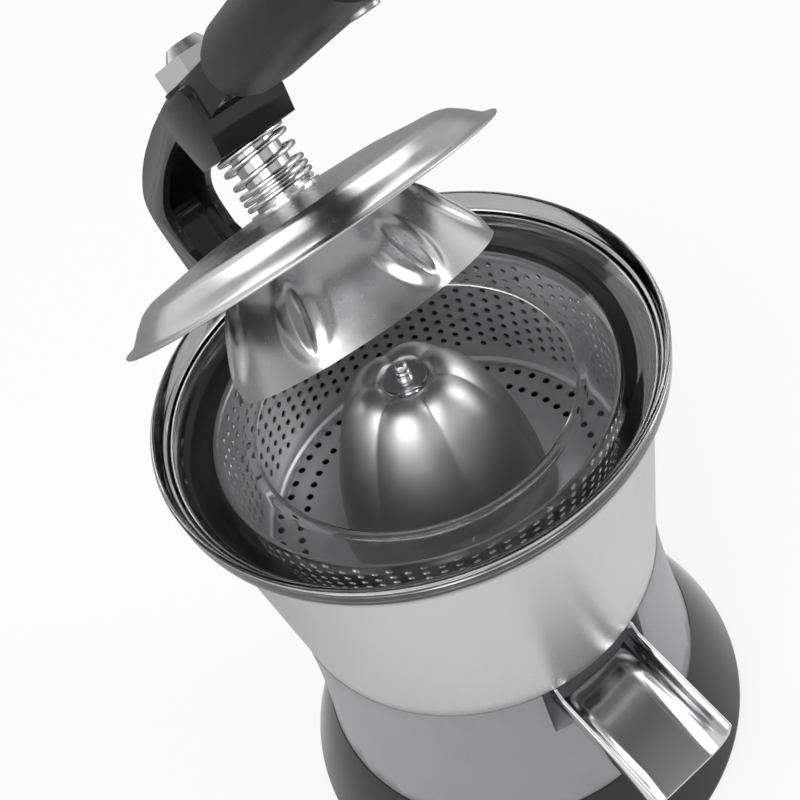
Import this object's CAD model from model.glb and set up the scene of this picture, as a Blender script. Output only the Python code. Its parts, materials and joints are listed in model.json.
import json
import math

import bmesh
import bpy
from bpy.props import FloatProperty, FloatVectorProperty, IntProperty, PointerProperty
from bpy.types import Operator, Panel, PropertyGroup
from mathutils import Matrix, Vector


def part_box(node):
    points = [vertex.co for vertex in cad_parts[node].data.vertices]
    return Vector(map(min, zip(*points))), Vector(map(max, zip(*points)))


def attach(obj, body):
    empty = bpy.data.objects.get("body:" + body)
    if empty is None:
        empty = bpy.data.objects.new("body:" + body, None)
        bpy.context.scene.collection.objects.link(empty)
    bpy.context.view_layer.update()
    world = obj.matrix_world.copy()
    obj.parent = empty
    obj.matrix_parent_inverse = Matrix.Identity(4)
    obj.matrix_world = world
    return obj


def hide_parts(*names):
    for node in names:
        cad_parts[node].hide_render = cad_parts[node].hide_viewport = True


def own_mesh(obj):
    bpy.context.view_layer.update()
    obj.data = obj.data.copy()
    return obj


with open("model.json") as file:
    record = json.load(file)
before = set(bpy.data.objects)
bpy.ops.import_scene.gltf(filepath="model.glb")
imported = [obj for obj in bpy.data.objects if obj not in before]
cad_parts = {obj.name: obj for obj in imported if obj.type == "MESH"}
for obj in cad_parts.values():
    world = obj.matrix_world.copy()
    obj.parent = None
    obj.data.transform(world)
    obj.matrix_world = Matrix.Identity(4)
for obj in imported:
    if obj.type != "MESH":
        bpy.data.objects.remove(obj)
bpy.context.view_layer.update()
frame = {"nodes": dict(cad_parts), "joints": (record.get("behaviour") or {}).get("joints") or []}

bl_info = {
    "name": "Citrus press",
    "version": (1, 0, 0),
    "blender": (4, 5, 0),
    "location": "View3D > Sidebar > Citrus press",
    "description": "Dresses a lever-operated citrus press: steel bowl, clear splash ring, reamer and press head",
    "category": "Object",
}

MM = 0.001

# Distance within which points are one, in metres, and the depth of a surface's grain
MERGE = 1e-6
GRAIN = 0.0002

# Heights, in millimetres above the table, that the pieces share
FOOT_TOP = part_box("juice_bowl")[0][2] / MM
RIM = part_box("juice_bowl")[1][2] / MM
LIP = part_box("splash_ring")[1][2] / MM
BASKET_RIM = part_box("strainer_basket")[1][2] / MM
REAMER_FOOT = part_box("reamer")[0][2] / MM
PIN_PROUD = 7.2
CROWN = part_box("reamer_pin")[1][2] / MM - PIN_PROUD


def joint(name):
    """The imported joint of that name."""
    return next(j for j in frame["joints"] if j["name"] == name)


HINGE = Vector(joint("lever_hinge")["pos_m"])
PRESS_UP = Vector(joint("press_slide")["axis"]).normalized()
# The angle of the raised arm, and how high the cover's edge lies when the arm is down
LIFT = math.atan2(PRESS_UP.y, PRESS_UP.z)
HEAD_H = RIM + 0.2


def lifted():
    """The turn from the closed arm, for which its pieces are drawn, to the raised arm of the frame."""
    return Matrix.Translation(HINGE) @ Matrix.Rotation(-LIFT, 4, "X") @ Matrix.Translation(-HINGE)


def head_place():
    """The press head's own frame: its origin in the plane of the cover's edge, in millimetres."""
    return lifted() @ Matrix.Translation((0, 0, HEAD_H * MM))


def add_node(tree, kind, settings, inlets):
    """A new node, with its settings made first, then its sockets' values or links.

    An inlet goes by its name, with _ for a blank, or by its number after a _.
    """
    made = tree.nodes.new(kind)
    for key, value in dict(settings).items():
        setattr(made, key, value)
    for key, value in inlets.items():
        place = made.inputs[int(key[1:]) if key[1:].isdigit() else key.replace("_", " ")]
        source = value.socket if isinstance(value, Value) else value
        if isinstance(source, bpy.types.NodeSocket):
            tree.links.new(source, place)
        else:
            place.default_value = value
    return made


class Value:
    """A shader socket that takes part in a Python sum."""

    def __init__(self, tree, socket):
        self.tree = tree
        self.socket = socket

    def sum(self, operation, first, second):
        """What an operation makes of two values or numbers."""
        made = add_node(self.tree, "ShaderNodeMath", {"operation": operation}, {"_0": first, "_1": second})
        return Value(self.tree, made.outputs[0])

    def __add__(self, other):
        return self.sum("ADD", self, other)

    def __sub__(self, other):
        return self.sum("SUBTRACT", self, other)

    def __rsub__(self, other):
        return self.sum("SUBTRACT", other, self)

    def __mul__(self, other):
        return self.sum("MULTIPLY", self, other)

    def __pow__(self, other):
        return self.sum("POWER", self, other)

    __radd__ = __add__
    __rmul__ = __mul__


class Board:
    """A shader tree, of a finish or of the world, to which nodes are added."""

    def __init__(self, tree):
        self.tree = tree

    def node(self, kind, settings=(), outlet=0, **inlets):
        """The outlet of a new node."""
        return Value(self.tree, add_node(self.tree, kind, settings, inlets).outputs[outlet])

    def split(self, vector):
        """The three numbers of a vector."""
        apart = add_node(self.tree, "ShaderNodeSeparateXYZ", (), {"Vector": vector})
        return [Value(self.tree, outlet) for outlet in apart.outputs]

    def here(self):
        """Object coordinates in metres, or the direction on the world."""
        return self.node("ShaderNodeTexCoord", outlet=3)

    def rays(self, *kinds):
        """1 for the kinds of ray that are named, 0 for the rest."""
        paths = self.tree.nodes.new("ShaderNodeLightPath")
        seen = Value(self.tree, paths.outputs[kinds[0]])
        for kind in kinds[1:]:
            seen = seen + Value(self.tree, paths.outputs[kind])
        return self.span(seen, 0.0, 1.0)

    def blend(self, mask, first, second):
        """The first colour where the mask is 0, the second where it is 1."""
        return self.node("ShaderNodeMix", {"data_type": "RGBA"}, outlet=2, _0=mask, _6=first, _7=second)

    def span(self, value, low, high, out_low=0.0, out_high=1.0):
        """A value's share of the way from low to high, laid out between two other numbers."""
        return self.node("ShaderNodeMapRange", {"clamp": True}, Value=value, From_Min=low, From_Max=high,
                         To_Min=out_low, To_Max=out_high)


class Finish(Board):
    """A material: its constants stand on the shader, and what varies is linked to it."""

    def __init__(self, name, **constants):
        self.material = bpy.data.materials.new(name)
        self.material.use_nodes = True
        super().__init__(self.material.node_tree)
        self.shader = self.tree.nodes["Principled BSDF"]
        for socket, value in constants.items():
            self.shader.inputs[socket.replace("_", " ")].default_value = value

    def feed(self, **inlets):
        """Links what varies to the shader."""
        for key, value in inlets.items():
            self.tree.links.new(value.socket, self.shader.inputs[key.replace("_", " ")])

    def place(self, scale=(1, 1, 1)):
        """Object coordinates in metres, times a scale."""
        return self.node("ShaderNodeMapping", {"vector_type": "POINT"}, Vector=self.here(), Scale=scale)

    def noise(self, scale, stretch=(1, 1, 1), detail=3.0, rough=0.55):
        """Noise whose grains are short along the axes that are stretched."""
        return self.node("ShaderNodeTexNoise", Vector=self.place(stretch), Scale=scale, Detail=detail, Roughness=rough)

    def height(self):
        """How high a point is, in metres."""
        return self.split(self.here())[2]

    def bump(self, height, strength, distance=GRAIN):
        """The normal of a surface with those small heights."""
        return self.node("ShaderNodeBump", Height=height, Strength=strength, Distance=distance)


def cool_grey(tone):
    """A steel's colour: grey, with a trace more blue."""
    return (tone, tone, tone * 1.01, 1)


def brushed_steel(name, tone, rough, along=(1, 1, 60), depth=0.12, marks=0.05):
    """Steel brushed across the axis that is stretched, with faint smears and fine scratches."""
    made = Finish(name, Metallic=1.0)
    grain = made.noise(240.0, along, 4.0, 0.7)
    broad = made.noise(14.0, (1, 1, 1), 2.0)
    shade = made.span(grain * 0.6 + broad * 0.4, 0.35, 0.65)
    made.feed(Base_Color=made.blend(shade, cool_grey(tone * (1 - marks)), cool_grey(tone * (1 + marks))),
              Roughness=made.span(grain * 0.7 + broad * 0.3, 0.3, 0.7, rough * 0.8, rough * 1.25),
              Normal=made.bump(grain, depth))
    return made.material


def polished_steel(name, tone, rough):
    """Bright steel with the smears and hairlines of wiping."""
    made = Finish(name, Metallic=1.0)
    smear = made.noise(9.0, (1, 1, 1), 3.0)
    hair = made.noise(420.0, (1, 0.12, 1), 2.0)
    made.feed(Base_Color=made.blend(made.span(smear, 0.35, 0.7), cool_grey(tone),
                                    (tone * 0.93, tone * 0.93, tone * 0.94, 1)),
              Roughness=made.span(smear * 0.7 + hair * 0.3, 0.35, 0.65, rough * 0.7, rough * 1.5),
              Normal=made.bump(hair, 0.04, GRAIN / 2))
    return made.material


def moulded(name, colour, rough, grain=900.0, depth=0.05, coat=0.0):
    """Moulded or painted stuff: a fine skin, slight mottling and paler wear."""
    made = Finish(name, Coat_Weight=coat, Coat_Roughness=0.04, Specular_IOR_Level=0.4)
    skin = made.noise(grain, (1, 1, 1), 3.0)
    mottle = made.noise(22.0, (1, 1, 1), 2.0)
    worn = tuple(min(1.0, c * 1.12 + 0.003) for c in colour) + (1,)
    made.feed(Base_Color=made.blend(made.span(mottle, 0.35, 0.7), (*colour, 1), worn),
              Roughness=made.span(mottle * 0.6 + skin * 0.4, 0.35, 0.65, rough * 0.85, rough * 1.2),
              Normal=made.bump(skin, depth))
    return made.material


def clear_plastic(name, tint):
    """Clear plastic: light goes through it, with faint wiping marks in its gloss."""
    made = Finish(name, Transmission_Weight=1.0, IOR=1.47, Base_Color=(*tint, 1))
    smear = made.noise(11.0, (1, 1, 1), 2.0)
    made.feed(Roughness=made.span(smear, 0.35, 0.7, 0.0, 0.03))
    return made.material


def bowl_steel(name, tone, rough, foot, top):
    """The bowl: brushed round and round, with a polished band at its rim and a dull inside.

    The foot and the top are the outer wall's radius and height at its ends, in millimetres.
    """
    made = Finish(name, Metallic=1.0)
    x, y, z = made.split(made.here())
    radius = (x * x + y * y) ** 0.5
    outer = (z - foot[1] * MM) * ((top[0] - foot[0]) / (top[1] - foot[1])) + foot[0] * MM
    inside = made.span(outer - radius, 0.5 * MM, 0.7 * MM)
    grain = made.noise(260.0, (1, 1, 70), 4.0, 0.7)
    broad = made.noise(10.0, (1, 1, 1), 2.0)
    band = made.span(made.height(), (RIM - 5) * MM, (RIM - 4) * MM)
    brushed = made.span(grain * 0.7 + broad * 0.3, 0.3, 0.7, rough * 0.8, rough * 1.25)
    shade = made.blend(made.span(grain * 0.5 + broad * 0.5, 0.35, 0.65), (tone * 0.95,) * 3 + (1,),
                       (tone * 1.04,) * 3 + (1,))
    shade = made.blend(inside, shade, (0.27, 0.27, 0.273, 1))
    made.feed(Base_Color=made.blend(band, shade, (0.5, 0.5, 0.505, 1)),
              Roughness=brushed * (1 - band) + band * 0.09,
              Normal=made.bump(grain * (1 - band), 0.12))
    return made.material


def mesh_object(name, points, faces, place=None):
    """A smooth-shaded mesh from points in millimetres, moved by a matrix in metres."""
    mesh = bpy.data.meshes.new(name)
    mesh.from_pydata([(place or Matrix()) @ (Vector(p) * MM) for p in points], [], faces)
    made = bpy.data.objects.new(name, mesh)
    bpy.context.scene.collection.objects.link(made)
    weld(made)
    return made


def weld(made):
    """Merges doubles, turns the faces outwards and shades them smooth."""
    work = bmesh.new()
    work.from_mesh(made.data)
    bmesh.ops.remove_doubles(work, verts=work.verts, dist=MERGE)
    bmesh.ops.recalc_face_normals(work, faces=work.faces)
    for face in work.faces:
        face.smooth = True
    work.to_mesh(made.data)
    work.free()


def mark_sharp(made, degrees):
    """Keeps the edges that are sharper than the angle crisp."""
    made.data.set_sharp_from_angle(angle=math.radians(degrees))


def rounded(points, radius, steps=3):
    """A closed outline with its corners rounded by arcs, where its edges leave room for them."""
    out = []
    count = len(points)
    for i, corner in enumerate(points):
        here = Vector(corner)
        back = Vector(points[i - 1]) - here
        ahead = Vector(points[(i + 1) % count]) - here
        reach = min(radius, back.length * 0.45, ahead.length * 0.45)
        start = here + back.normalized() * reach
        end = here + ahead.normalized() * reach
        for k in range(steps + 1):
            t = k / steps
            out.append(tuple(start * (1 - t) ** 2 + here * 2 * t * (1 - t) + end * t ** 2))
    return out


def between(low, high, count):
    """The faces between two rings of points, whose first points have those numbers."""
    return [(low + i, low + (i + 1) % count, high + (i + 1) % count, high + i) for i in range(count)]


def lathe(name, outline, segments, place=None):
    """Turns a closed outline of (radius, height) about the upright axis."""
    points = []
    for i in range(segments):
        a = math.tau * i / segments
        points += [(r * math.cos(a), r * math.sin(a), z) for r, z in outline]
    n = len(outline)
    faces = [face for i in range(segments) for face in between(i * n, (i + 1) % segments * n, n)]
    return mesh_object(name, points, faces, place)


def curve_points(a, b, c, d, steps):
    """Points on the curve from a to d that leaves towards b and arrives from c."""
    out = []
    for i in range(steps + 1):
        t = i / steps
        s = 1 - t
        out.append(tuple(s ** 3 * p + 3 * s * s * t * q + 3 * s * t * t * u + t ** 3 * v
                         for p, q, u, v in zip(a, b, c, d)))
    return out


def applied(made):
    """Makes the modifiers' result the object's plain mesh."""
    depsgraph = bpy.context.evaluated_depsgraph_get()
    mesh = bpy.data.meshes.new_from_object(made.evaluated_get(depsgraph))
    made.modifiers.clear()
    made.data = mesh


def eased_copy(node, width, segments):
    """A copy of a CAD node whose sharp edges are rounded."""
    flat, edge, crisp = 1.5, 32, 38
    source = frame["nodes"][node]
    made = bpy.data.objects.new(node + "_eased", source.data.copy())
    bpy.context.scene.collection.objects.link(made)
    work = bmesh.new()
    work.from_mesh(made.data)
    bmesh.ops.remove_doubles(work, verts=work.verts, dist=2 * MERGE)
    bmesh.ops.dissolve_limit(work, angle_limit=math.radians(flat), verts=work.verts, edges=work.edges)
    work.to_mesh(made.data)
    work.free()
    ease = made.modifiers.new("ease", "BEVEL")
    ease.width = width * MM
    ease.segments = segments
    ease.limit_method = "ANGLE"
    ease.angle_limit = math.radians(edge)
    applied(made)
    made.data.shade_smooth()
    mark_sharp(made, crisp)
    return made


def finish_piece(made, material, body, slot, *nodes):
    """Gives a piece its finish and its body, and the CAD nodes that it stands for."""
    made.data.materials.clear()
    made.data.materials.append(material)
    for face in made.data.polygons:
        face.material_index = 0
    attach(made, body)
    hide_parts(*nodes)


def dress(node, material):
    """Gives a CAD node a better finish."""
    for slot in frame["nodes"][node].material_slots:
        slot.material = material


class NodeTree:
    """A Geometry Nodes tree with named inputs, run once on an object."""

    def __init__(self, name):
        self.tree = bpy.data.node_groups.new(name, "GeometryNodeTree")
        self.tree.interface.new_socket("Geometry", in_out="INPUT", socket_type="NodeSocketGeometry")
        self.tree.interface.new_socket("Geometry", in_out="OUTPUT", socket_type="NodeSocketGeometry")
        self.entry = self.tree.nodes.new("NodeGroupInput")
        self.exit = self.tree.nodes.new("NodeGroupOutput")
        self.values = {}

    def size(self, name, value, kind="NodeSocketFloat"):
        """A named input, and its outlet inside the tree."""
        socket = self.tree.interface.new_socket(name, in_out="INPUT", socket_type=kind)
        self.values[socket.identifier] = value
        return self.entry.outputs[name]

    def node(self, kind, settings=(), outlet=0, **inlets):
        """The outlet of a new node."""
        return add_node(self.tree, kind, settings, inlets).outputs[outlet]

    def maths(self, operation, first, second=0.0):
        """The outlet of a sum."""
        return self.node("ShaderNodeMath", {"operation": operation}, _0=first, _1=second)

    def run(self, made, geometry, material):
        """Ends the tree, and turns its result into the object's plain mesh."""
        real = self.node("GeometryNodeRealizeInstances", Geometry=geometry)
        dressed = self.node("GeometryNodeSetMaterial", Geometry=real, Material=material)
        self.tree.links.new(dressed, self.exit.inputs[0])
        modifier = made.modifiers.new(self.tree.name, "NODES")
        modifier.node_group = self.tree
        for identifier, value in self.values.items():
            modifier[identifier] = value
        applied(made)


class PressSizes(PropertyGroup):
    """Sizes of the pieces that this script makes, in millimetres."""

    rim_radius: FloatProperty(name="Rim radius", description="Outer radius of the bowl's rolled rim",
                              default=89.0, min=80.0, max=95.0)
    mouth_radius: FloatProperty(name="Mouth radius", description="Radius of the splash ring's mouth",
                                default=57.0, min=50.0, max=62.0)
    hole_rows: IntProperty(name="Hole rows", description="Rows of holes in the strainer's wall",
                           default=17, min=6, max=20)
    hole_count: IntProperty(name="Holes in a row", description="Holes in each row of the strainer's wall",
                            default=40, min=20, max=48)
    hole_radius: FloatProperty(name="Hole radius", description="Radius of the strainer's small holes",
                               default=1.27, min=0.6, max=1.6)
    lobes: IntProperty(name="Lobes", description="Lobes of the reamer", default=6, min=4, max=8)
    reamer_radius: FloatProperty(name="Reamer radius", description="Radius of the reamer at its foot",
                                 default=39.8, min=34.0, max=42.0)
    cover_radius: FloatProperty(name="Cover radius", description="Radius of the press cover",
                                default=72.6, min=60.0, max=74.0)
    dimples: IntProperty(name="Dimples", description="Dimples pressed into the bell", default=7, min=4, max=9)
    spring_radius: FloatProperty(name="Spring radius", description="Mean radius of the press spring",
                                 default=12.0, min=11.0, max=13.0)
    wire: FloatProperty(name="Wire", description="Diameter of the spring's wire", default=1.9, min=1.5, max=2.2)


class PressFinishes(PropertyGroup):
    """Colours of the finishes."""

    steel: FloatProperty(name="Steel tone", description="Brightness of the brushed steel", default=0.62,
                         min=0.2, max=0.9)
    paint: FloatVectorProperty(name="Housing paint", description="Paint of the motor housing", subtype="COLOR",
                               default=(0.235, 0.245, 0.262), min=0.0, max=1.0)
    enamel: FloatVectorProperty(name="Arm enamel", description="Enamel of the arm", subtype="COLOR",
                                default=(0.012, 0.016, 0.014), min=0.0, max=1.0)
    base: FloatVectorProperty(name="Base", description="Gloss plastic of the base", subtype="COLOR",
                              default=(0.012, 0.012, 0.013), min=0.0, max=1.0)


def sizes():
    """The sizes that the panel shows."""
    return bpy.context.scene.press_sizes


def finishes():
    """The colours that the panel shows."""
    return bpy.context.scene.press_finishes


class PRESS_OT_bowl(Operator):
    """Make the juice bowl with its rolled rim"""

    bl_idname = "press.bowl"
    bl_label = "Juice bowl"

    def execute(self, context):
        rim_r = sizes().rim_radius
        sump_h, roll_h, sheet = 14, 5, 1.2
        foot_r, top_r, sump_r, tube_r = 73.8, 83.0, 67.0, 15.0
        low, high = FOOT_TOP + sump_h, RIM - roll_h
        tube_top = REAMER_FOOT - 1.9
        steps = 12
        wall = [(foot_r + (top_r - foot_r) * t / steps, low + (high - low) * t / steps) for t in range(steps + 1)]
        inner = [(r - sheet, z + sheet) for r, z in reversed(wall[:-1])]
        outline = wall + [(top_r + 2, RIM - 3.4), (rim_r - 1.2, RIM - 2.6), (rim_r, RIM - 1.6), (rim_r, RIM - 0.6),
                          (rim_r - 0.8, RIM), (rim_r - 4, RIM), (top_r + 0.6, RIM - 2.6)] + inner + [
            (sump_r, low + sheet), (sump_r - sheet, low), (sump_r - sheet, FOOT_TOP + sheet + 1),
            (sump_r - sheet - 1.5, FOOT_TOP + sheet), (tube_r, FOOT_TOP + sheet), (tube_r, tube_top),
            (tube_r - sheet - 1, tube_top), (tube_r - sheet - 1, FOOT_TOP), (sump_r - 1.5, FOOT_TOP),
            (sump_r, FOOT_TOP + 1.5), (sump_r, low)]
        bowl = lathe("bowl_shell", rounded(outline, 0.7), 256)
        mark_sharp(bowl, 50)
        steel = bowl_steel("bowl_steel", finishes().steel, 0.3, (foot_r, low), (top_r, high))
        finish_piece(bowl, steel, "stand", "brushed_steel", "juice_bowl")
        return {"FINISHED"}


class PRESS_OT_splash_ring(Operator):
    """Make the clear splash ring"""

    bl_idname = "press.splash_ring"
    bl_label = "Splash ring"

    def execute(self, context):
        mouth = sizes().mouth_radius
        outline = [(88.5, LIP), (89.6, LIP), (90, LIP - 0.6), (89.5, RIM), (85, RIM), (78.1, RIM - 2.3),
                   (72.4, RIM - 5.4), (mouth + 4.6, RIM - 8.6), (mouth + 1.4, RIM - 10.4), (mouth, RIM - 9.8),
                   (mouth, RIM - 7.4), (mouth + 1.2, RIM - 7), (mouth + 4.6, RIM - 5.8), (72.8, RIM - 3.2),
                   (78.6, RIM - 0.1), (85.1, RIM + 2.4), (86.8, RIM + 4)]
        ring = lathe("splash_ring_clear", rounded(outline, 0.8), 224)
        mark_sharp(ring, 60)
        clear = clear_plastic("clear_plastic", (0.97, 0.985, 0.98))
        finish_piece(ring, clear, "stand", "clear_plastic", "splash_ring")
        return {"FINISHED"}


def holed_cell(wide, tall, hole):
    """A flat cell of sheet with a round hole; its long edges are cut in six, so that staggered rows meet."""
    edge = [(3, 0), (3, 3), (2, 3), (1, 3), (0, 3), (-1, 3), (-2, 3), (-3, 3)]
    edge += [(-x, -y) for x, y in edge]
    count = len(edge)
    points = [(hole * math.cos(math.tau * i / count), hole * math.sin(math.tau * i / count), 0) for i in range(count)]
    points += [(x * wide / 6, y * tall / 6, 0) for x, y in edge]
    faces = [(i, count + i, count + (i + 1) % count, (i + 1) % count) for i in range(count)]
    return mesh_object("hole_cell", points, faces)


def joined(name, parts):
    """One mesh of several, with the doubles where they meet merged."""
    work = bmesh.new()
    for part in parts:
        work.from_mesh(part.data)
        bpy.data.objects.remove(part)
    mesh = bpy.data.meshes.new(name)
    work.to_mesh(mesh)
    work.free()
    made = bpy.data.objects.new(name, mesh)
    bpy.context.scene.collection.objects.link(made)
    weld(made)
    return made


# The strainer: its floor, its wall's radius at the floor and the wall's flare, and the floor's two rows of holes
FLOOR = REAMER_FOOT - 1.2
WALL_FOOT = 68.3
WALL_FLARE = 2.3
FLOOR_ROWS = (64.3, 56.3)
ROW_HOLES = 60
ROW_HALF = math.tau * FLOOR_ROWS[0] / ROW_HOLES / 2


class PRESS_OT_strainer(Operator):
    """Make the strainer basket with its rows of small holes"""

    bl_idname = "press.strainer"
    bl_label = "Strainer basket"

    def execute(self, context):
        steel = brushed_steel("strainer_steel", 0.76, 0.36, (1, 1, 40), 0.02)
        sheet, gap, plain_h, floor_share = 0.7, 0.06, 11.2, 1.15
        rows, count, hole = sizes().hole_rows, sizes().hole_count, sizes().hole_radius
        pitch = 2 * hole + gap
        first = FLOOR + plain_h
        plates = [self.wall(steel, first, pitch, rows, count, hole)]
        plates += [self.holed_ring(radius, hole * floor_share) for radius in FLOOR_ROWS]
        plates.append(self.bands(first - pitch / 2, first + (rows - 0.5) * pitch))
        basket = joined("strainer_perforated", plates)
        thick = basket.modifiers.new("sheet", "SOLIDIFY")
        thick.thickness = sheet * MM
        thick.offset = 0
        applied(basket)
        mark_sharp(basket, 40)
        finish_piece(basket, steel, "stand", "polished_steel", "strainer_basket")
        return {"FINISHED"}

    def wall_r(self, z):
        """Radius of the basket's wall at a height."""
        return WALL_FOOT + WALL_FLARE * (z - FLOOR) / (BASKET_RIM - FLOOR)

    def wall(self, steel, first, pitch, rows, count, hole):
        """Rows of cells, staggered, laid out flat and then wrapped to a cone."""
        wide = math.tau * self.wall_r(first) / count
        cell = holed_cell(wide, pitch, hole)
        tree = NodeTree("perforated wall")
        across = tree.size("Holes in a row", count, "NodeSocketInt")
        up = tree.size("Rows", rows, "NodeSocketInt")
        cell_w = tree.size("Cell width", wide * MM)
        cell_h = tree.size("Row pitch", pitch * MM)
        low_r = tree.size("Radius at the first row", self.wall_r(first) * MM)
        slope = tree.size("Slope", WALL_FLARE / (BASKET_RIM - FLOOR))
        bottom = tree.size("Height of the first row", first * MM)
        line = tree.node("GeometryNodeMeshLine", Count=tree.maths("MULTIPLY", across, up))
        index = tree.node("GeometryNodeInputIndex")
        row = tree.maths("FLOOR", tree.maths("DIVIDE", tree.maths("ADD", index, 0.5), across))
        column = tree.maths("SUBTRACT", index, tree.maths("MULTIPLY", row, across))
        shift = tree.maths("MULTIPLY", tree.maths("MODULO", row, 2.0), 0.5)
        spot = tree.node("ShaderNodeCombineXYZ", Y=tree.maths("MULTIPLY", row, cell_h),
                         X=tree.maths("MULTIPLY", tree.maths("ADD", column, shift), cell_w))
        spots = tree.node("GeometryNodeSetPosition", Geometry=line, Position=spot)
        source = tree.node("GeometryNodeObjectInfo", {"transform_space": "ORIGINAL"}, outlet=4, Object=cell)
        cells = tree.node("GeometryNodeInstanceOnPoints", Points=spots, Instance=source)
        flat = tree.node("GeometryNodeRealizeInstances", Geometry=cells)
        place = tree.node("GeometryNodeInputPosition")
        along = tree.node("ShaderNodeSeparateXYZ", outlet=0, Vector=place)
        rise = tree.node("ShaderNodeSeparateXYZ", outlet=1, Vector=place)
        turn = tree.maths("DIVIDE", math.tau, tree.maths("MULTIPLY", across, cell_w))
        angle = tree.maths("MULTIPLY", along, turn)
        radius = tree.maths("ADD", low_r, tree.maths("MULTIPLY", rise, slope))
        wrapped = tree.node("ShaderNodeCombineXYZ", X=tree.maths("MULTIPLY", radius, tree.maths("COSINE", angle)),
                            Y=tree.maths("MULTIPLY", radius, tree.maths("SINE", angle)),
                            Z=tree.maths("ADD", rise, bottom))
        cone = tree.node("GeometryNodeSetPosition", Geometry=flat, Position=wrapped)
        wall = mesh_object("wall", [(0, 0, 0)], [])
        tree.run(wall, cone, steel)
        bpy.data.objects.remove(cell)
        return wall

    def holed_ring(self, radius, hole):
        """A flat ring of the floor with one row of round holes."""
        edge = [(1, 0), (1, 1), (0, 1), (-1, 1), (-1, 0), (-1, -1), (0, -1), (1, -1)]
        edge = [point for i, here in enumerate(edge)
                for point in (here, tuple((p + q) / 2 for p, q in zip(here, edge[(i + 1) % 8])))]
        sides = len(edge)
        step = math.tau / ROW_HOLES
        points = []
        faces = []
        for i in range(ROW_HOLES):
            start = len(points)
            for k, (across, along) in enumerate(edge):
                a = math.tau * k / sides
                for r, t in ((radius + hole * math.cos(a), hole * math.sin(a) / radius),
                             (radius + ROW_HALF * across, along * step / 2)):
                    points.append((r * math.cos(i * step + t), r * math.sin(i * step + t), FLOOR))
            for k in range(sides):
                m = (k + 1) % sides
                faces.append((start + 2 * k, start + 2 * k + 1, start + 2 * m + 1, start + 2 * m))
        return mesh_object("floor_ring", points, faces)

    def bands(self, low, high):
        """The plain parts of the basket: collar, floor, the rib round it, upper wall and rolled rim."""
        segments = 240
        out_r, in_r = FLOOR_ROWS
        rib_top = FLOOR + 3.9
        lines = [
            [(19.4, FLOOR - 6.5), (19.4, FLOOR - 0.4), (19.9, FLOOR), (30, FLOOR), (in_r - ROW_HALF, FLOOR)],
            [(in_r + ROW_HALF, FLOOR), (out_r - ROW_HALF, FLOOR)],
            [(out_r + ROW_HALF, FLOOR), (67.3, FLOOR + 0.35), (66.9, FLOOR + 0.9), (66.7, FLOOR + 1.6),
             (66.85, FLOOR + 2.3), (67.3, FLOOR + 2.85), (67.9, FLOOR + 3.2), (self.wall_r(rib_top), rib_top),
             (self.wall_r(low), low)],
            [(self.wall_r(high), high), (70.7, BASKET_RIM - 1.7), (71.5, BASKET_RIM - 0.9),
             (72.4, BASKET_RIM - 0.6)]]
        points = []
        faces = []
        for line in lines:
            start = len(points)
            for i in range(segments):
                a = math.tau * i / segments
                points += [(r * math.cos(a), r * math.sin(a), z) for r, z in line]
            n = len(line)
            for i in range(segments):
                faces += between(start + i * n, start + (i + 1) % segments * n, n)[:-1]
        return mesh_object("bands", points, faces)


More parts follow.
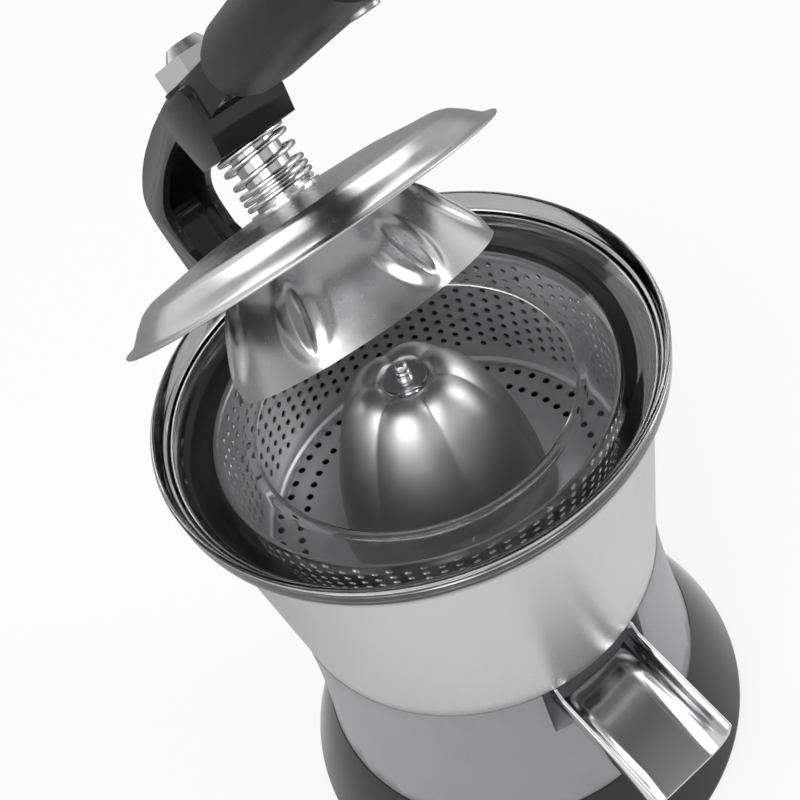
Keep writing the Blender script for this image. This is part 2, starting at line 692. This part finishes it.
class PRESS_OT_reamer(Operator):
    """Make the fluted reamer with its clear cap and pin"""

    bl_idname = "press.reamer"
    bl_label = "Reamer"

    def execute(self, context):
        dome = self.make_dome(sizes().lobes, sizes().reamer_radius)
        finish_piece(dome, brushed_steel("reamer_steel", 0.58, 0.4, (1, 1, 30), 0.01, 0.02), "reamer_drive",
                     "brushed_steel", "reamer")
        hole_r, cap_r, cap_low = 2.7, 8.3, CROWN - 2.3
        cap = lathe("reamer_cap_clear", rounded([(hole_r, cap_low), (cap_r, cap_low), (cap_r, CROWN - 0.7),
                                                 (cap_r - 0.6, CROWN - 0.1), (hole_r, CROWN)], 0.35), 96)
        finish_piece(cap, clear_plastic("cap_plastic", (0.9, 0.93, 0.93)), "reamer_drive", "clear_plastic",
                     "reamer_cap")
        pin_r, axis_r, tip, root = 2.5, 0.05, CROWN + 6.4, CROWN - 14
        pin = lathe("reamer_pin_turned", rounded([(axis_r, root), (pin_r, root), (pin_r, CROWN + 2.4),
                                                  (pin_r - 0.4, CROWN + 2.7), (pin_r - 0.4, CROWN + 3.1),
                                                  (pin_r, CROWN + 3.4), (pin_r, tip - 2), (pin_r - 0.7, tip - 0.6),
                                                  (axis_r, tip)], 0.5), 64)
        finish_piece(pin, polished_steel("pin_steel", 0.72, 0.08), "reamer_drive", "polished_steel", "reamer_pin")
        return {"FINISHED"}

    def make_dome(self, lobes, foot_r):
        """The fluted dome: each lobe's outline turns into the crease's outline at its sides."""
        levels, first, tall = 48, math.radians(20), CROWN - REAMER_FOOT
        # Both outlines are shares of the foot's radius and of the dome's height
        lobe = curve_points((1, 0), (0.99, 0.3), (0.68, 1.06), (0.255, 0.99), levels)
        crease = curve_points((0.968, 0), (0.948, 0.3), (0.64, 1.0), (0.285, 0.968), levels)
        shares = [0, 0.1, 0.2, 0.3, 0.4, 0.5, 0.6, 0.7, 0.78, 0.85, 0.9, 0.935, 0.955, 0.97, 0.985]
        across = [-1] + [-share for share in reversed(shares[1:])] + shares
        steps = len(across)
        n = lobes * steps
        points = []
        for k in range(levels + 1):
            for i in range(n):
                s = across[i % steps]
                deep = self.fold(abs(s))
                r = lobe[k][0] + (crease[k][0] - lobe[k][0]) * deep
                z = lobe[k][1] + (crease[k][1] - lobe[k][1]) * deep
                a = first + math.tau / lobes * (i // steps + 0.5 + s / 2)
                points.append((r * foot_r * math.cos(a), r * foot_r * math.sin(a), REAMER_FOOT + z * tall))
        # The lobes end round a flat crown, where the cap sits: rings by their share of the radius and their drop
        crown = ((0.955, 0.9), (0.91, 2.0), (0.86, 2.3), (0.5, 2.4))
        for share, drop in crown:
            for x, y, z in points[levels * n:(levels + 1) * n]:
                points.append((x * share, y * share, CROWN - drop + (z - CROWN) * max(0.0, share - 0.91) * 8))
        rings = levels + 1 + len(crown)
        faces = [face for k in range(rings - 1) for face in between(k * n, (k + 1) * n, n)]
        top = len(points)
        points.append((0, 0, CROWN - crown[-1][1]))
        faces += [((rings - 1) * n + i, (rings - 1) * n + (i + 1) % n, top) for i in range(n)]
        # The foot turns in and is closed below
        low = len(points)
        points += [(x * 0.95, y * 0.95, REAMER_FOOT + 0.02) for x, y, z in points[:n]]
        faces += between(low, 0, n)
        faces.append(tuple(low + i for i in reversed(range(n))))
        return mesh_object("reamer_dome", points, faces)

    def fold(self, share):
        """How deep a lobe's section lies: round to the crease, which has a small round bottom."""
        edge = 0.94
        if share < edge:
            return share * share
        past = share - edge
        return edge * edge + 2 * edge * past - edge * past * past / (1 - edge)


class PRESS_OT_press_head(Operator):
    """Make the press cover and the dimpled bell"""

    bl_idname = "press.press_head"
    bl_label = "Press head"

    def execute(self, context):
        r = sizes().cover_radius
        top = [(r, 0), (r - 3.4, 0.9), (r - 5.6, 2.7), (r - 8, 5), (r - 12.4, 8.3), (r - 16.4, 9.8), (r - 21, 10.2),
               (r - 29, 11.2), (36, 12.2), (20, 13), (8.9, 13)]
        under = [(8.9, 11.8), (20, 11.8), (36, 11), (r - 29, 10), (r - 21, 9), (r - 16.6, 8.6), (r - 12.8, 7.1),
                 (r - 8.4, 3.8), (r - 6, 1.5), (r - 3.6, -0.3), (r - 0.3, -0.8)]
        cover = lathe("press_cover_domed", rounded(top + under, 0.9), 224, head_place())
        mark_sharp(cover, 55)
        cover_steel = brushed_steel("cover_steel", 0.58, 0.24, (1, 1, 1), 0.003, 0.015)
        finish_piece(cover, cover_steel, "press_head", "brushed_steel", "press_cover")
        bell = self.make_bell(sizes().dimples)
        bell_steel = brushed_steel("bell_steel", 0.62, 0.24, (1, 1, 1), 0.003, 0.015)
        finish_piece(bell, bell_steel, "press_head", "brushed_steel", "press_bell")
        return {"FINISHED"}

    def make_bell(self, count):
        """The bell's wall, with long dimples that stand out round a pressed slot."""
        levels, n = 76, 560
        low, high, wall = -32.8, 9.7, 1.4
        plane_r, lip_r, hole_r = 33.0, 50.9, 8.9
        slope = (lip_r - plane_r) / -low
        # A dimple's middle and, of its swelling and of its slot, the depth, the half width and the half length
        mid, first = -16.7, math.radians(-77.4)
        swell_d, swell_w, swell_l = 2.8, 8.6, 13.2
        slot_d, slot_w, slot_l = 2.6, 2.7, 11.6

        def radius(h, a):
            r = plane_r - slope * h
            turn = (a - first) % (math.tau / count)
            turn = min(turn, math.tau / count - turn) * r
            swell = swell_d * math.exp(-math.hypot(turn / swell_w, (h - mid) / swell_l) ** 6)
            slot = slot_d * max(0.0, 1 - math.hypot(turn / slot_w, (h - mid) / slot_l))
            return r + swell - slot

        points = []
        for side in (0, wall):
            for k in range(levels + 1):
                h = low + (high - side - low) * k / levels
                for i in range(n):
                    a = math.tau * i / n
                    r = radius(h, a) - side
                    points.append((r * math.cos(a), r * math.sin(a), h))
        inner = (levels + 1) * n
        faces = [face for start in (0, inner) for k in range(levels)
                 for face in between(start + k * n, start + (k + 1) * n, n)]
        faces += between(0, inner, n)
        # The flat crown, with the shaft's hole
        for start, h in ((levels * n, high), (inner + levels * n, high - wall)):
            rim = len(points)
            points += [(hole_r * math.cos(math.tau * i / n), hole_r * math.sin(math.tau * i / n), h)
                       for i in range(n)]
            faces += between(start, rim, n)
        faces += between(rim - n, rim, n)
        bell = mesh_object("press_bell_dimpled", points, faces, head_place())
        mark_sharp(bell, 40)
        return bell


class PRESS_OT_springs(Operator):
    """Wind the press spring and the arm's return spring"""

    bl_idname = "press.springs"
    bl_label = "Springs"

    def execute(self, context):
        wire, mean = sizes().wire, sizes().spring_radius
        steel = polished_steel("spring_steel", 0.72, 0.1)
        seat, play = 14.3, 0.45
        start = seat + wire / 2
        closed, opened = wire + play, 5.05
        turns = (3, 2, 1)
        place = head_place() @ Matrix.Translation((0, 0, start * MM))
        spring = self.wind("press_spring_wound", steel, mean, wire, closed, opened, turns, place)
        finish_piece(spring, steel, "lever", "polished_steel", "press_spring")
        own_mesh(spring)
        # The return spring lies along the hinge pin: its own axis and first direction are turned to X and Y
        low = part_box("lever_spring")[0]
        back_wire, back_mean = 2.2, 7.8
        place = (Matrix.Translation((low.x + back_wire / 2 * MM, HINGE.y, HINGE.z))
                 @ Matrix.Rotation(-LIFT, 4, "X") @ Matrix(((0, 0, 1, 0), (1, 0, 0, 0), (0, 1, 0, 0), (0, 0, 0, 1))))
        back = self.wind("return_spring_wound", steel, back_mean, back_wire, back_wire + play, 0.0, (3, 0, 0), place)
        finish_piece(back, brushed_steel("spring_wire", 0.45, 0.3, (1, 1, 8)), "lever", "zinc_steel", "lever_spring")
        return {"FINISHED"}

    def wind(self, name, steel, mean, wire, closed, opened, turns, place):
        """One unbroken wire: closed turns, open turns and closed turns again, wound by rule."""
        tree = NodeTree(name)
        low_turns, open_turns, high_turns = turns
        rings = tree.size("Rings in a turn", 40, "NodeSocketInt")
        total = tree.size("Turns", low_turns + open_turns + high_turns, "NodeSocketInt")
        coil_r = tree.size("Mean radius", mean * MM)
        wire_r = tree.size("Wire radius", wire / 2 * MM)
        shut = tree.size("Rise of a closed turn", closed * MM)
        wide = tree.size("Rise of an open turn", opened * MM)
        first = tree.size("Closed turns below", float(low_turns))
        middle = tree.size("Open turns", float(open_turns))
        line = tree.node("GeometryNodeMeshLine",
                         Count=tree.maths("ADD", tree.maths("MULTIPLY", rings, total), 1.0))
        turn = tree.maths("DIVIDE", tree.node("GeometryNodeInputIndex"), rings)
        above = tree.maths("SUBTRACT", turn, first)
        in_open = tree.maths("MAXIMUM", tree.maths("MINIMUM", above, middle), 0.0)
        in_shut = tree.maths("SUBTRACT", turn, in_open)
        rise = tree.maths("ADD", tree.maths("MULTIPLY", in_open, wide), tree.maths("MULTIPLY", in_shut, shut))
        angle = tree.maths("MULTIPLY", turn, math.tau)
        spot = tree.node("ShaderNodeCombineXYZ", X=tree.maths("MULTIPLY", coil_r, tree.maths("COSINE", angle)),
                         Y=tree.maths("MULTIPLY", coil_r, tree.maths("SINE", angle)), Z=rise)
        wound = tree.node("GeometryNodeSetPosition", Geometry=line, Position=spot)
        path = tree.node("GeometryNodeMeshToCurve", Mesh=wound)
        section = tree.node("GeometryNodeCurvePrimitiveCircle", Resolution=14, Radius=wire_r)
        tube = tree.node("GeometryNodeCurveToMesh", Curve=path, Profile_Curve=section, Fill_Caps=True)
        spring = mesh_object(name, [(0, 0, 0)], [])
        tree.run(spring, tube, steel)
        spring.data.transform(place)
        weld(spring)
        mark_sharp(spring, 50)
        return spring


class PRESS_OT_arm(Operator):
    """Ease the arm's edges and give it its enamel"""

    bl_idname = "press.arm"
    bl_label = "Arm and grip"

    def execute(self, context):
        enamel = moulded("arm_enamel", tuple(finishes().enamel), 0.08, 500.0, 0.01)
        finish_piece(eased_copy("lever_arm", 1.6, 3), enamel, "lever", "arm_black", "lever_arm")
        soft = moulded("grip_plastic", (0.012, 0.013, 0.013), 0.36, 1400.0, 0.12)
        finish_piece(eased_copy("lever_grip", 2.0, 4), soft, "lever", "dark_plastic", "lever_grip")
        return {"FINISHED"}


class PRESS_OT_stand(Operator):
    """Ease the stand's edges and give its pieces their finishes"""

    bl_idname = "press.stand"
    bl_label = "Stand"

    def execute(self, context):
        paint = moulded("housing_paint", tuple(finishes().paint), 0.32, 1100.0, 0.06, 0.15)
        finish_piece(eased_copy("motor_housing", 1.0, 2), paint, "stand", "grey_paint", "motor_housing")
        gloss = moulded("base_plastic", tuple(finishes().base), 0.08, 700.0, 0.01)
        finish_piece(self.turned_base(), gloss, "stand", "base_black", "base_shell")
        spout_steel = polished_steel("spout_steel", 0.68, 0.12)
        finish_piece(eased_copy("spout", 0.35, 2), spout_steel, "stand", "polished_steel", "spout")
        return {"FINISHED"}

    def turned_base(self):
        """The round base, turned, with the inlet's hole bored square to its wall."""
        foot, low, neck, high = 98.0, 4.5, 80.5, 46.0
        edge, ledge, hole_r = 2.5, 8.4, 7.05
        base = lathe("base_turned", rounded([(foot, edge), (foot, low), (neck, high), (74.2, high), (74.2, high - 2.6),
                                             (77.6, high - 2.6), (93.7, ledge), (86, ledge), (86, 6), (94.7, 6),
                                             (94.7, edge)], 0.9), 288)
        slope = math.atan((foot - neck) / (high - low))
        inlet = Vector((0, 92.6, 17)) * MM
        bore = lathe("bore", [(0, -12), (hole_r, -12), (hole_r, 20), (0, 20)], 64,
                     Matrix.Translation(inlet) @ Matrix.Rotation(slope - math.pi / 2, 4, "X"))
        cut = base.modifiers.new("bore", "BOOLEAN")
        cut.operation = "DIFFERENCE"
        cut.object = bore
        applied(base)
        bpy.data.objects.remove(bore)
        mark_sharp(base, 40)
        return base


class PRESS_OT_small_parts(Operator):
    """Give the shaft, the fasteners and the inner pieces their finishes"""

    bl_idname = "press.small_parts"
    bl_label = "Small parts"

    def execute(self, context):
        rubber = moulded("rubber", (0.028, 0.028, 0.028), 0.75, 1500.0, 0.3)
        dark = moulded("dark_plastic", (0.045, 0.046, 0.05), 0.5, 1300.0, 0.2)
        pale = moulded("pale_plastic", (0.75, 0.75, 0.72), 0.45, 1200.0, 0.1)
        red = moulded("red_plastic", (0.45, 0.03, 0.03), 0.4)
        copper = brushed_steel("copper_wire", 0.5, 0.35, (1, 1, 30), 0.4)
        bright = polished_steel("bright_steel", 0.72, 0.09)
        zinc = brushed_steel("zinc_plate", 0.52, 0.33, (1, 1, 10))
        cast = brushed_steel("cast_aluminium", 0.5, 0.5, (1, 1, 1), 0.3)
        core = brushed_steel("core_plates", 0.2, 0.45, (1, 1, 90), 0.4)
        bronze = brushed_steel("bearing_bronze", 0.42, 0.3, (1, 1, 10))
        wear = {
            "foot_ring": rubber, "cord_inlet": rubber, "spindle_seal": rubber,
            "base_plate": dark, "cooling_fan": dark, "start_switch": dark,
            "run_capacitor": pale, "reamer_hub": pale, "switch_plunger": red,
            "motor_windings": copper, "motor_stator": core, "motor_rotor": core,
            "end_shield_lower": cast, "end_shield_upper": cast,
            "bearing_lower": bright, "bearing_upper": bright, "press_shaft": bright, "press_nut": bright,
            "spring_washer": bright, "hinge_bushes": bronze, "press_bush": bronze,
            "base_screws": zinc, "motor_screws": zinc, "drive_spindle": zinc, "hinge_pin": zinc, "hinge_nut": zinc,
            "grip_screw": zinc, "shaft_circlip": zinc, "bell_spacer": zinc,
        }
        for node, material in wear.items():
            dress(node, material)
        return {"FINISHED"}


# The photograph's camera, found from the circles of the ring, the rim, the strainer and the base
CAMERA_AT = Vector((-120.7, -278.9, 520.1)) * MM
CAMERA_RIGHT = Vector((0.76164, -0.59617, -0.25394))
CAMERA_UP = Vector((0.58919, 0.47398, 0.65436))
LENS = 56.23


class PRESS_OT_stage(Operator):
    """Set the floor, the soft lights and the camera"""

    bl_idname = "press.stage"
    bl_label = "Stage"

    def execute(self, context):
        self.make_camera()
        self.make_floor()
        self.make_world()
        self.make_lights()
        bpy.context.scene.view_settings.view_transform = "Standard"
        return {"FINISHED"}

    def make_camera(self):
        """The photograph's camera, from its place and its two directions."""
        data = bpy.data.cameras.new("camera")
        data.lens = LENS
        data.sensor_width = 36.0
        data.clip_start = 0.01
        camera = bpy.data.objects.new("camera", data)
        bpy.context.scene.collection.objects.link(camera)
        back = CAMERA_RIGHT.cross(CAMERA_UP)
        turn = Matrix((CAMERA_RIGHT, CAMERA_UP, back)).transposed().to_4x4()
        camera.matrix_world = Matrix.Translation(CAMERA_AT) @ turn
        bpy.context.scene.camera = camera

    def make_floor(self):
        """The pale ground, which takes the shadow."""
        half = 3000.0
        tone = 0.9
        floor = mesh_object("floor", [(-half, -half, 0), (half, -half, 0), (half, half, 0), (-half, half, 0)],
                            [(0, 1, 2, 3)])
        pale = Finish("pale_floor", Base_Color=(tone, tone, tone, 1), Roughness=0.9, Specular_IOR_Level=0.1)
        self.show_white(pale)
        floor.data.materials.append(pale.material)

    def show_white(self, made):
        """Shows the camera and the glass a white ground, and the metal one that darkens behind the press."""
        front, behind, near, far, share = 0.9, 0.3, -0.1, 0.3, 0.8
        shine = made.rays("Is Glossy Ray")
        ground = made.span(made.split(made.here())[1], near, far, front, behind)
        light = made.node("ShaderNodeEmission", Color=(1, 1, 1, 1), Strength=shine * ground + (1.0 - shine))
        factor = made.rays("Is Camera Ray", "Is Transmission Ray") * share + shine
        shader = Value(made.tree, made.shader.outputs[0])
        both = made.node("ShaderNodeMixShader", _0=factor, _1=shader, _2=light)
        out = made.tree.nodes["Material Output"]
        made.tree.links.new(both.socket, out.inputs["Surface"])

    def make_world(self):
        """White to the camera, and a room to the metal."""
        world = bpy.data.worlds.new("studio")
        world.use_nodes = True
        bpy.context.scene.world = world
        board = Board(world.node_tree)
        dim, ceiling, gap = 0.38, 0.28, 0.5
        white = board.rays("Is Camera Ray", "Is Transmission Ray")
        shine = board.rays("Is Glossy Ray")
        # Metal sees a bright horizon under a dark ceiling, with a few darker stands round the room
        x, y, z = board.split(board.here())
        turn = board.node("ShaderNodeMath", {"operation": "ARCTAN2"}, _0=y, _1=x)
        stands = board.node("ShaderNodeMath", {"operation": "SINE"}, _0=turn * 4.0 + 0.6)
        room = board.span(z, 0.2, 0.85, 1.0, ceiling) * board.span(stands, -1.0, 1.0, gap, 1.0)
        level = shine * room + (1.0 - shine) * (white + (1.0 - white) * dim)
        world.node_tree.links.new(level.socket, world.node_tree.nodes["Background"].inputs["Strength"])
        world.node_tree.nodes["Background"].inputs["Color"].default_value = (1, 1, 1, 1)

    def make_lights(self):
        """Soft lamps, each with its place, its aim, its width and height in metres and its power."""
        for name, at, to, wide, tall, watts in (
                ("key_softbox", (-0.9, -0.7, 1.3), (0, 0, 0.2), 1.6, 1.2, 17.0),
                ("side_strip", (1.3, -0.5, 0.8), (0, 0, 0.2), 0.6, 1.4, 8.0),
                ("back_softbox", (0.3, 1.4, 1.2), (0, 0, 0.25), 1.6, 0.8, 9.0)):
            lamp = bpy.data.lights.new(name, "AREA")
            lamp.shape = "RECTANGLE"
            lamp.size = wide
            lamp.size_y = tall
            lamp.energy = watts
            made = bpy.data.objects.new(name, lamp)
            bpy.context.scene.collection.objects.link(made)
            made.location = at
            made.rotation_euler = (Vector(to) - Vector(at)).to_track_quat("-Z", "Y").to_euler()


STEPS = (
    PRESS_OT_stage,
    PRESS_OT_bowl,
    PRESS_OT_splash_ring,
    PRESS_OT_strainer,
    PRESS_OT_reamer,
    PRESS_OT_press_head,
    PRESS_OT_springs,
    PRESS_OT_arm,
    PRESS_OT_stand,
    PRESS_OT_small_parts,
)


class PRESS_PT_panel(Panel):
    """The pieces of the press, their sizes and their colours"""

    bl_idname = "PRESS_PT_panel"
    bl_label = "Citrus press"
    bl_space_type = "VIEW_3D"
    bl_region_type = "UI"
    bl_category = "Citrus press"

    def draw(self, context):
        for group in (context.scene.press_sizes, context.scene.press_finishes):
            box = self.layout.box()
            for name in group.__annotations__:
                box.prop(group, name)
        for step in STEPS:
            self.layout.operator(step.bl_idname)


CLASSES = (PressSizes, PressFinishes, *STEPS, PRESS_PT_panel)


def register():
    """Adds the sizes, the finishes, the steps and the panel to Blender."""
    for kind in CLASSES:
        bpy.utils.register_class(kind)
    bpy.types.Scene.press_sizes = PointerProperty(type=PressSizes)
    bpy.types.Scene.press_finishes = PointerProperty(type=PressFinishes)


def unregister():
    """Takes them away again."""
    del bpy.types.Scene.press_sizes
    del bpy.types.Scene.press_finishes
    for kind in reversed(CLASSES):
        bpy.utils.unregister_class(kind)


def main():
    """Runs the steps."""
    register()
    for step in STEPS:
        group, name = step.bl_idname.split(".")
        getattr(getattr(bpy.ops, group), name)()


if __name__ == "__main__":
    main()
